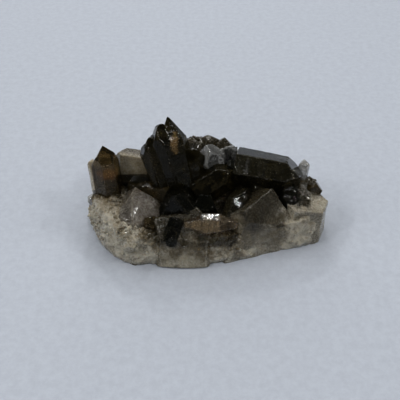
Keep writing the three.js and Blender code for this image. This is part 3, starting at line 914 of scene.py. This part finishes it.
def stony(name, foot, waist, crown, frosty, low, high, see_through, rough=0.3, grain=0.6, pocket=None):
    """A cloudy finish whose colour goes from foot over waist to crown with height, in millimetres. Each face is also
    darkened by a random share, which is painted shade, and worn edges turn pale, partly as a painted highlight along
    the ridges.
    """
    material, tree, shader = new_material(name)
    zones = use(tree, zones_group, Low_mm=low, High_mm=high, Wander_mm=7.0)
    veil = use(tree, veils_group, Size_mm=6.0, Amount=0.5)["Veil"]
    cracks = use(tree, veils_group, Size_mm=7.5, Amount=0.6)["Veil"]
    wear = use(tree, wear_and_highlight_group, Amount=0.7)["Wear"]
    calm = maths(tree, "SUBTRACT", 1.0, product(tree, zones["Crown"], 0.95))
    facet = ramp_node(tree, carried(tree, "facet"), 0.1, 0.9)
    mottle = noise_node(tree, 900.0, 4.0, 0.7)
    upper = blend(tree, ramp_node(tree, place_mm(tree, "Y"), 9.0, 17.0), crown, RIDGE)
    layers = [
        (zones["Crown"], upper), (product(tree, zones["Streaks"], 0.4), times(0.6, waist)),
        # Painted shade: each face is darkened by a random share, for the different light that each face catches. The
        # frost after it is real.
        (product(tree, facet, 0.5), times(0.3, waist)), (product(tree, zones["Frost"], calm, 0.45), frosty),
        (product(tree, veil, calm, 0.35), frosty), (product(tree, cracks, 0.55), times(0.3, waist)),
        (ragged_spot(tree, *pocket), crown) if pocket else None,
        (product(tree, ramp_node(tree, mottle, 0.5, 0.75), 0.4), times(0.35, waist)),
        # Pale edges and crust tips: real chips, and a painted highlight along the ridges.
        (product(tree, wear, maths(tree, "ADD", 0.35, product(tree, calm, 0.65))), frosty),
    ]
    colour = blend(tree, zones["Waist"], foot, waist)
    for mask, over in filter(None, layers):
        colour = blend(tree, mask, colour, over)
    spark = product(tree, ramp_node(tree, mottle, 0.35, 0.7), 0.3)
    bump = add(tree, "Bump", Strength=grain, Distance=0.2 * MM, Height=mottle)
    fill(tree, shader, IOR=1.54, Subsurface_Weight=0.15, Subsurface_Radius=(3.0, 2.2, 1.5), Subsurface_Scale=MM,
         Transmission_Weight=see_through, Coat_Weight=0.25, Coat_Roughness=0.08, Specular_IOR_Level=0.25,
         Base_Color=colour, Roughness=maths(tree, "ADD", spark, rough - 0.15), Normal=bump.outputs["Normal"])
    return material


finishes["milky stone"] = stony("milky quartz", (0.50, 0.45, 0.35), (0.22, 0.185, 0.12), (0.024, 0.019, 0.008),
                                FROST, 3, 23, see_through=0.3)
finishes["brown stone"] = stony("brown cloudy quartz", (0.50, 0.45, 0.34), (0.17, 0.135, 0.075), (0.020, 0.016, 0.006),
                                FROST, 1, 17, see_through=0.3)
finishes["beige stone"] = stony("beige cloudy quartz", (0.58, 0.49, 0.34), (0.52, 0.44, 0.30), (0.46, 0.39, 0.26),
                                FROST, 6, 34, see_through=0.12)
finishes["mauve stone"] = stony("mauve cloudy quartz", (0.17, 0.145, 0.11), (0.12, 0.10, 0.076), (0.085, 0.072, 0.053),
                                (0.36, 0.33, 0.27), 2, 20, see_through=0.2)
finishes["pale stone"] = stony("pale cloudy quartz", (0.60, 0.55, 0.44), (0.48, 0.43, 0.33), (0.028, 0.022, 0.009),
                               FROST, 2, 17, see_through=0.3, pocket=((47.0, -7.5, 23.5), (7.5, 6.5, 4.5)))
finishes["base stone"] = stony("vein quartz", (0.54, 0.495, 0.40), (0.21, 0.17, 0.105), (0.028, 0.022, 0.009),
                               FROST, 2, 14, rough=0.28, grain=0.8, see_through=0.15)
for node, (lean, wear, finish) in CRYSTALS.items():
    pieces[node].data.materials.append(finishes[finish])
pieces["quartz_base"].data.materials.append(finishes["base stone"])
druse.data.materials.append(finishes["base stone"])
print("finishes:", sorted(finishes))

# %% [markdown]
# ## Floor, light and camera
# A pale cool cloth, an even sky and three large lamps leave hardly any shadow. The two side lamps can't be seen in
# the crystals, where they would look like haze. A ring of small lamps makes the sharp sparkles.

# %% Floor
def sheet_mesh(name, half):
    """One square on the floor plane."""
    mesh = bpy.data.meshes.new(name)
    mesh.from_pydata([(-half, -half, 0), (half, -half, 0), (half, half, 0), (-half, half, 0)], [], [(0, 1, 2, 3)])
    return mesh


FLOOR_HALF, CLOTH = 2.5, ((0.455, 0.48, 0.53), (0.51, 0.54, 0.59))
floor = bpy.data.objects.new("floor", sheet_mesh("floor", FLOOR_HALF))
bpy.context.scene.collection.objects.link(floor)
cloth, tree, shader = new_material("pale cloth")
fluff = ramp_node(tree, noise_node(tree, 260.0, 6.0, 0.75), 0.3, 0.7)
fill(tree, shader, Roughness=0.95, Specular_IOR_Level=0.1, Base_Color=blend(tree, fluff, *CLOTH))
floor.data.materials.append(cloth)
print("floor:", floor.name, "of", cloth.name)

# %% [markdown]
# ### Light
# The camera sees a pale even sky, but the crystals mirror a darker one, which is a little brighter at its edge than
# overhead. Each lamp faces the middle of the cluster.

# %% Light
AT_EDGE, OVERHEAD, SEEN = (0.16, 0.165, 0.17), (0.05, 0.055, 0.06), (0.44, 0.47, 0.49, 1)
world = bpy.data.worlds.new("soft sky")
bpy.context.scene.world = world
world.use_nodes = True
tree = world.node_tree
upwards = add(tree, "SeparateXYZ", Vector=add(tree, "TexCoord").outputs["Generated"]).outputs["Z"]
sky = blend(tree, ramp_node(tree, upwards, -0.2, 0.8), AT_EDGE, OVERHEAD)
background = fill(tree, tree.nodes["Background"], Color=sky, Strength=1.0)
seen = add(tree, "Background", Color=SEEN)
mixed = add(tree, "MixShader")
tree.links.new(add(tree, "LightPath").outputs["Is Camera Ray"], mixed.inputs[0])
tree.links.new(background.outputs[0], mixed.inputs[1])
tree.links.new(seen.outputs[0], mixed.inputs[2])
tree.links.new(mixed.outputs[0], tree.nodes["World Output"].inputs["Surface"])


def lamp(name, place, size, glow, colour):
    """A square lamp that faces the middle of the cluster. Its power is its glow times pi times its area."""
    light = bpy.data.lights.new(name, "AREA")
    light.size = size
    light.energy = glow * math.pi * size**2
    light.color = colour
    made = bpy.data.objects.new(name, light)
    made.location = place
    made.rotation_euler = (Vector((0, 0, 0.02)) - Vector(place)).to_track_quat("-Z", "Y").to_euler()
    bpy.context.scene.collection.objects.link(made)
    return made


lamp("window", (-0.25, 1.4, 1.05), 1.5, 1.5, (0.98, 0.99, 1.0))
for name, place, glow in [("left_side", (-1.5, -0.35, 1.25), 1.4), ("right_side", (1.6, -0.25, 1.2), 1.15)]:
    lamp(name, place, 1.4, glow, (1.0, 1.0, 1.0)).visible_glossy = False
SPARKS, RING, SPARK_SIZE, SPARK_GLOW = 9, 0.55, 0.045, 85
for number in range(SPARKS):
    turn = 2 * math.pi * (number + 0.35) / SPARKS
    rise_up = 0.75 + 0.25 * math.sin(2.3 * number)
    place = (RING * math.cos(turn), RING * math.sin(turn), rise_up)
    lamp(f"spark_{number}", place, SPARK_SIZE, SPARK_GLOW, (1, 1, 1))

# %% [markdown]
# ### Camera
# The camera looks down at the cluster from in front, with a long lens that keeps its sides nearly upright.

# %% Camera
EYE = Vector((-0.00312, -0.26470, 0.23740))
AIM = Vector((-0.00312, -0.00084, 0.016))
camera_data = bpy.data.cameras.new("camera")
camera_data.lens = 62
camera = bpy.data.objects.new("camera", camera_data)
camera.location = EYE
camera.rotation_euler = (AIM - EYE).to_track_quat("-Z", "Y").to_euler()
bpy.context.scene.collection.objects.link(camera)
bpy.context.scene.camera = camera
bpy.context.scene.view_settings.view_transform = "Standard"
bpy.context.scene.view_settings.look = "Medium High Contrast"
print("camera at", [round(c, 3) for c in camera.location])
